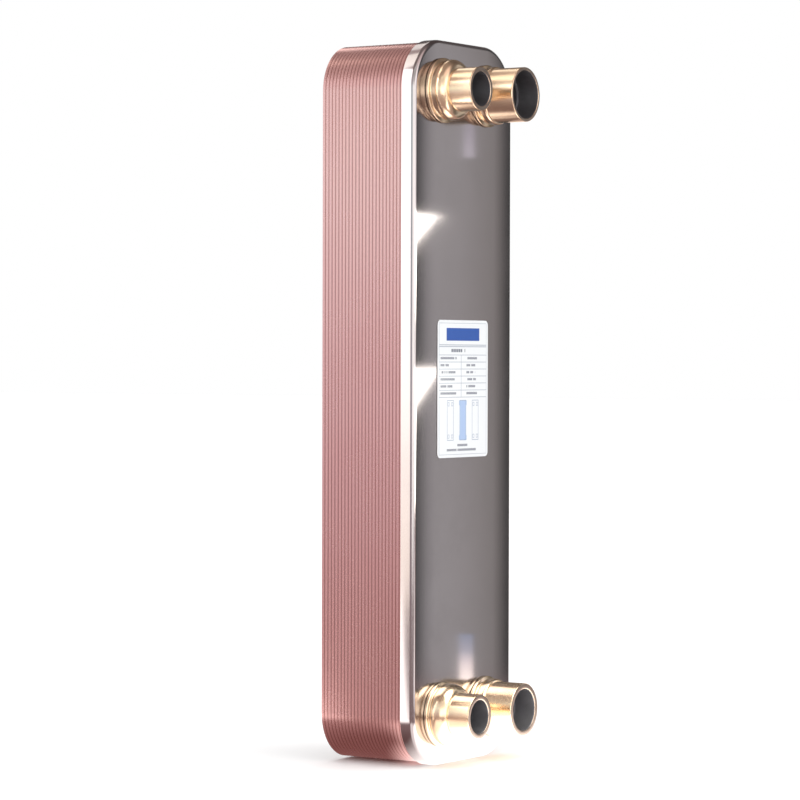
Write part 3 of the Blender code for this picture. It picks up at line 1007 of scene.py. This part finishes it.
def floor_finish():
    """Matt near-white paint. To mirrors it is a white pool in front of the unit and dim elsewhere."""
    material, tree, shader, place = new_finish("studio_floor")
    paint = blended(tree, noise_of(tree, place, 3.0, 3.0), (0.86, 0.86, 0.86, 1.0), (0.90, 0.90, 0.90, 1.0))
    tree.links.new(paint, shader.inputs["Base Color"])
    shader.inputs["Roughness"].default_value = 0.9
    shader.inputs["Specular IOR Level"].default_value = 0.1

    def measure(operation, *vectors):
        sockets = dict(enumerate((place, *vectors)))
        return add_node(tree, "ShaderNodeVectorMath", sockets, operation=operation).outputs["Value"]

    shade = colour_ramp(tree, over(tree, measure("LENGTH"), SHADE_REACH), FLOOR_SHADE)
    along, across = measure("DOT_PRODUCT", RUNNER_ALONG), measure("DOT_PRODUCT", RUNNER_ACROSS)
    at = split(tree, place)
    x, y = at["X"], at["Y"]
    runner = times(tree, between(tree, across, -0.081, -0.051, 0.019, 0.049), largest(
        tree, between(tree, along, 0.0, 0.04, 0.14, 0.28), soft_step(tree, along, -0.12, -0.20)))
    glow = soft_step(tree, measure("DISTANCE", GLOW_CENTRE), 0.105, 0.065)
    aisle = times(tree, soft_step(tree, y, -0.30, -0.38), between(tree, x, -0.15, -0.11, 0.03, 0.07))
    beside = times(tree, between(tree, y, -0.12, -0.08, -0.016, 0.0),
                   between(tree, x, -0.165, -0.14, -0.04, -0.015))
    rear = times(tree, soft_step(tree, y, 0.25, 0.6), soft_step(tree, x, -0.2, 0.1))
    pool = largest(
        tree, times(tree, largest(tree, runner, glow), RUNNER_LIGHT), times(tree, aisle, AISLE_LIGHT),
        times(tree, beside, SIDE_LIGHT), times(tree, rear, REAR_LIGHT),
    )
    dim = add_node(tree, "ShaderNodeEmission", {"Color": shade, "Strength": 1.0})
    bright = add_node(tree, "ShaderNodeEmission", {"Color": (1.0, 0.97, 0.92, 1.0), "Strength": pool})
    both = add_node(tree, "ShaderNodeAddShader", {0: dim, 1: bright})
    surface = next(node for node in tree.nodes if node.bl_idname == "ShaderNodeOutputMaterial")
    tree.links.new(seen_in_mirrors(tree, shader, both), surface.inputs["Surface"])
    return material


def rectangle(x, y):
    """Points, edges and the one face of a flat rectangle, from half its width and half its height."""
    return [(-x, -y, 0), (x, -y, 0), (x, y, 0), (-x, y, 0)], [], [(0, 1, 2, 3)]


def floor_sheet(size=30.0):
    """A wide flat floor at the unit's foot."""
    mesh = bpy.data.meshes.new("floor")
    half = size / 2.0
    mesh.from_pydata(*rectangle(half, half))
    mesh.materials.append(floor_finish())
    return add_object("floor", mesh)


floor_sheet()

# %% Studio surroundings
def build_surroundings():
    """White to the eye and to matt surfaces; for mirrors, pale round the horizon and dim overhead."""
    world = bpy.data.worlds.new("studio")
    bpy.context.scene.world = world
    tree = cleared(world)
    direction = add_node(tree, "ShaderNodeTexCoord").outputs["Generated"]
    level = split(tree, direction)
    sky = colour_ramp(tree, level["Z"], [
        (0.0, (0.95, 0.92, 0.90)), (0.3, (0.80, 0.74, 0.72)), (0.6, (0.46, 0.36, 0.34)),
        (1.0, (0.34, 0.27, 0.25)),
    ])
    to_right = soft_step(tree, level["X"], 0.1, 0.6)
    to_front = times(tree, soft_step(tree, level["Y"], -0.35, -0.6), soft_step(tree, level["X"], 0.45, 0.2))
    to_back = times(tree, soft_step(tree, level["Y"], 0.3, 0.5), soft_step(tree, level["X"], 0.6, 0.3))
    strength = plus(tree, minus(tree, 1.0, times(tree, to_right, 0.72)),
                    plus(tree, times(tree, to_front, 1.8), to_back))
    mirrored = add_node(tree, "ShaderNodeBackground", {"Color": sky, "Strength": strength})
    direct = add_node(tree, "ShaderNodeLightPath").outputs["Is Camera Ray"]
    plain = add_node(tree, "ShaderNodeBackground", {
        "Color": (1.0, 1.0, 1.0, 1.0), "Strength": minus(tree, 1.3, times(tree, direct, 0.3)),
    })
    add_node(tree, "ShaderNodeOutputWorld", {"Surface": seen_in_mirrors(tree, plain, mirrored)})


def reflected_from(point, distance):
    """Where the camera's view of a point on the face goes after the face has mirrored it."""
    sight = (point - CAMERA_PLACE).normalized()
    return point + Vector((sight.x, -sight.y, sight.z)) * distance


def facing(centre, target, axis):
    """A place at the centre, turned so that one of its axes points at the target."""
    turn = (target - centre).to_track_quat(axis, "Y").to_matrix().to_4x4()
    return Matrix.Translation(centre) @ turn


def light_card(name, centre, target, size, colours, turn=None):
    """A screen that only mirrors see, shaded from one colour to another along its width or height."""
    material = bpy.data.materials.new(name)
    tree = cleared(material)
    place = add_node(tree, "ShaderNodeTexCoord").outputs["Object"]
    at = split(tree, place)
    axis, extent = (at["X"], size[0]) if turn == "across" else (at["Y"], size[1])
    share = plus(tree, over(tree, axis, extent), 0.5)
    glow = add_node(tree, "ShaderNodeEmission",
                    {"Color": colour_ramp(tree, share, colours), "Strength": 1.0})
    front_only = add_node(tree, "ShaderNodeMixShader", {
        0: add_node(tree, "ShaderNodeNewGeometry").outputs["Backfacing"], 1: glow,
        2: add_node(tree, "ShaderNodeBsdfTransparent").outputs[0],
    })
    add_node(tree, "ShaderNodeOutputMaterial", {"Surface": front_only})
    mesh = bpy.data.meshes.new(name)
    mesh.from_pydata(*rectangle(size[0] / 2.0, size[1] / 2.0))
    mesh.materials.append(material)
    card = add_object(name, mesh)
    card.matrix_world = facing(centre, target, "Z")
    card.visible_camera = card.visible_diffuse = card.visible_shadow = False
    card.visible_transmission = card.visible_volume_scatter = False
    return card


def soft_light(name, centre, target, size, power, colour=(1.0, 1.0, 1.0)):
    """A softbox."""
    data = bpy.data.lights.new(name, "AREA")
    data.shape, data.size, data.size_y = "RECTANGLE", size[0], size[1]
    data.energy, data.color = power, colour
    light = add_object(name, data)
    light.matrix_world = facing(centre, target, "-Z")
    light.visible_camera = light.visible_glossy = False
    return light


CAMERA_PLACE = Vector((-1.62854, FACE_Y - 1.01682, MIDDLE_Z + 0.02601))
middle = Vector((0.0, FACE_Y, MIDDLE_Z))
build_surroundings()
screen_place = reflected_from(middle, 0.45)
light_card("grey_screen", screen_place, Vector((middle.x, middle.y, screen_place.z)), (0.42, 0.90), [
    (0.34, (0.08, 0.08, 0.08)), (0.40, (0.33, 0.31, 0.30)), (0.426, (0.40, 0.375, 0.36)),
    (0.450, (0.477, 0.452, 0.427)), (0.495, (0.62, 0.60, 0.60)), (0.541, (0.70, 0.69, 0.69)),
    (0.574, (0.65, 0.635, 0.64)), (0.61, (0.58, 0.565, 0.57)), (0.70, (0.10, 0.10, 0.10)),
], "across")
# for the stack's side, bright at the top and warm at the foot; then for the cover's skirt behind it
side = Vector((-WIDTH / 2.0, FACE_Y + 0.03, MIDDLE_Z + 0.10))
light_card("left_screen", side + Vector((-0.75, 0.0, 0.0)), side, (0.60, 1.0), [
    (0.18, (0.52, 0.40, 0.39)), (0.226, (0.56, 0.44, 0.46)), (0.293, (0.61, 0.50, 0.53)),
    (0.351, (0.66, 0.57, 0.61)), (0.409, (0.73, 0.685, 0.73)), (0.476, (0.79, 0.78, 0.81)),
    (0.543, (0.83, 0.855, 0.87)), (0.593, (0.92, 1.0, 1.02)), (0.635, (1.05, 1.25, 1.22)),
    (0.75, (0.8, 0.75, 0.75)),
])
side = side + Vector((0.0, 0.0, 0.30))
light_card("band_screen", side + Vector((-0.82, 0.62, 0.0)), side, (0.72, 1.3), [
    (0.0, (2.2, 1.9, 1.6)), (0.15, (2.6, 2.4, 2.2)), (0.3, (3.2, 3.15, 3.1)), (1.0, (3.2, 3.1, 3.0)),
])
# for the skirt where it goes over the top
arch_target = Vector((-0.03, FACE_Y, MIDDLE_Z + 0.19))
light_card("arch_screen", arch_target + Vector((-0.38, 0.66, 0.86)), arch_target, (0.55, 0.95), [
    (0.0, (3.0, 2.9, 2.75)), (0.5, (2.4, 2.25, 2.05)), (1.0, (1.7, 1.5, 1.3)),
])
# for the bend between the skirt and the face
light_card("key_screen", Vector((-1.15, -1.00, 1.00)), Vector((0.0, 0.0, 1.00)), (1.7, 2.0), [
    (0.0, (2.3, 2.25, 2.15)), (0.27, (2.3, 2.25, 2.15)), (0.40, (1.2, 1.15, 1.1)),
    (0.6, (0.8, 0.75, 0.7)), (1.0, (1.1, 1.05, 1.0)),
])
light_card("front_screen", Vector((0.0, -1.75, 0.40)), Vector((0.0, 0.0, 0.40)), (0.5, 0.5), [
    (0.0, (1.9, 1.85, 1.8)), (1.0, (1.5, 1.45, 1.4)),
])
# for the tops of the lower stubs
low_target = Vector((0.0, FACE_Y - 0.02, 0.03))
for name, centre, size in (
    ("low_upper_screen", low_target + Vector((-0.01, -0.10, 0.16)), (0.14, 0.17)),
    ("low_roof_screen", Vector((0.0, -0.15, 0.30)), (0.13, 0.16)),
):
    light_card(name, centre, low_target, size, [(0.0, (6.0, 5.7, 5.1)), (1.0, (6.0, 5.8, 5.3))])
# for the cover's top corner
light_card("roof_screen", Vector((0.30, 0.38, 1.03)), Vector((0.0, FACE_Y, 0.43)), (0.34, 0.24), [
    (0.0, (1.6, 1.5, 1.4)), (1.0, (1.6, 1.5, 1.4)),
])
# two narrow lamps that leave a gleam on the face, near its top and its foot
for name, x, z, distance, size, colours in (
    ("upper_gleam", 0.0055, 0.160, 0.07, (0.0065, 0.027), [
        (0.0, (1.15, 1.10, 1.20)), (1.0, (0.75, 0.70, 0.78)),
    ]),
    ("lower_gleam", 0.0035, -0.156, 0.05, (0.0085, 0.034), [
        (0.0, (3.0, 2.7, 2.4)), (0.45, (2.0, 1.8, 1.75)), (0.7, (1.0, 1.0, 1.12)), (1.0, (0.65, 0.72, 0.90)),
    ]),
):
    gleam = Vector((x, FACE_Y, MIDDLE_Z + z))
    light_card(name, reflected_from(gleam, distance), gleam, size, colours)
soft_light("overhead", Vector((0.3, -1.0, 2.2)), middle, (1.8, 1.8), 14.0)
cards = sum(item.name.endswith(("_screen", "_gleam")) for item in bpy.context.scene.objects)
print(cards, "screens and one light in place")

# %% Camera
def place_camera():
    """A long lens at the height of the unit's middle, a little to the left of its front corner."""
    yaw, pitch, roll = math.radians(56.879), math.radians(-0.7365), math.radians(0.1442)
    ahead = Vector((math.sin(yaw) * math.cos(pitch), math.cos(yaw) * math.cos(pitch), math.sin(pitch)))
    right = Vector((math.cos(yaw), -math.sin(yaw), 0.0))
    above = right.cross(ahead)
    level_right = right * math.cos(roll) + above * math.sin(roll)
    level_above = above * math.cos(roll) - right * math.sin(roll)
    data = bpy.data.cameras.new("camera")
    data.lens, data.sensor_width = 144.03, 36.0
    camera = add_object("camera", data)
    turn = Matrix((level_right, level_above, -ahead)).transposed()
    camera.matrix_world = Matrix.Translation(CAMERA_PLACE) @ turn.to_4x4()
    bpy.context.scene.camera = camera


place_camera()
bpy.context.scene.view_settings.view_transform = "Standard"
print(f"camera {(CAMERA_PLACE - middle).length:.2f} m from the middle of the face")
